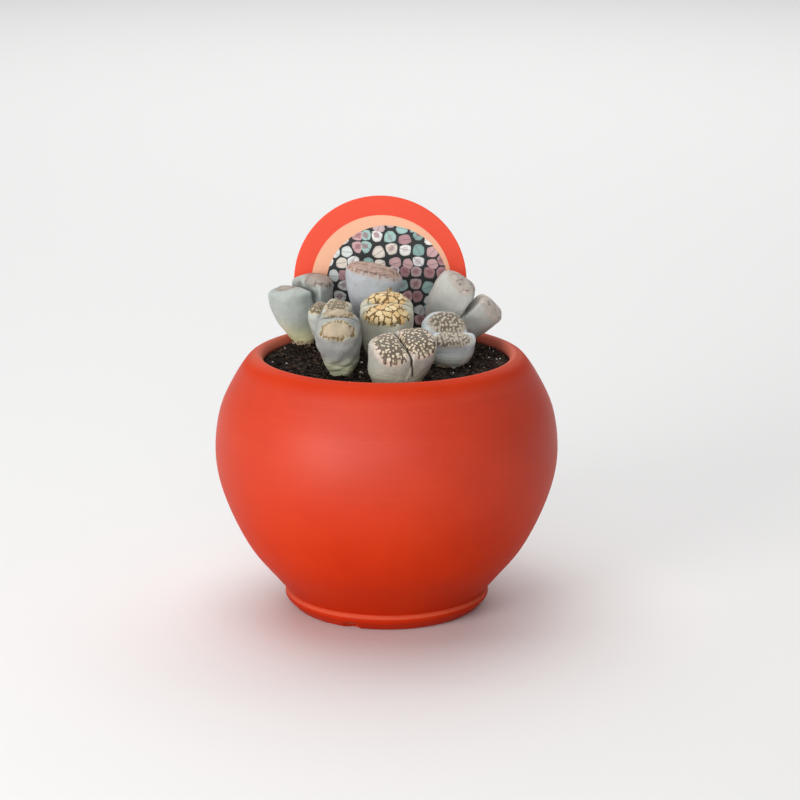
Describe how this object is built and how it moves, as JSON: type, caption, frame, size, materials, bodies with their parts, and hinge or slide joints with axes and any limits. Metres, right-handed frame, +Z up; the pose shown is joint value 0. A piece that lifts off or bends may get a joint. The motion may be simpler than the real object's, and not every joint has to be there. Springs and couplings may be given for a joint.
{
  "type": "potted lithops",
  "caption": "Group of living stone succulents with cleft, flat-topped leaf pairs in a round red clay pot, with a round plant label standing behind them.",
  "frame": {"origin": "centre of the underside of the pot's foot, on the surface it stands on", "axes": "+Z up along the pot's axis; -Y towards the front of the group; +Y towards the label behind the plants"},
  "size_m": [0.1158, 0.1158, 0.1353],
  "materials": {
    "pot": "matt red fired clay",
    "soil": "loose moist peat mix",
    "leaf_blue_grey": "waxy skin with a matt bloom",
    "leaf_grey": "waxy skin with a matt bloom",
    "leaf_sand": "waxy skin with brown netted windows",
    "leaf_taupe": "waxy skin with dark dotted windows",
    "leaf_slate": "waxy skin with dark netted windows",
    "label": "printed sheet plastic"
  },
  "bodies": {
    "root": {"pot": "pot", "soil": "soil", "lithops_left": "leaf_blue_grey", "lithops_front_left": "leaf_grey", "lithops_mid_left": "leaf_grey", "lithops_back": "leaf_blue_grey", "lithops_centre": "leaf_sand", "lithops_front": "leaf_taupe", "lithops_right": "leaf_slate", "lithops_back_right": "leaf_grey", "label": "label"}
  },
  "joints": []
}
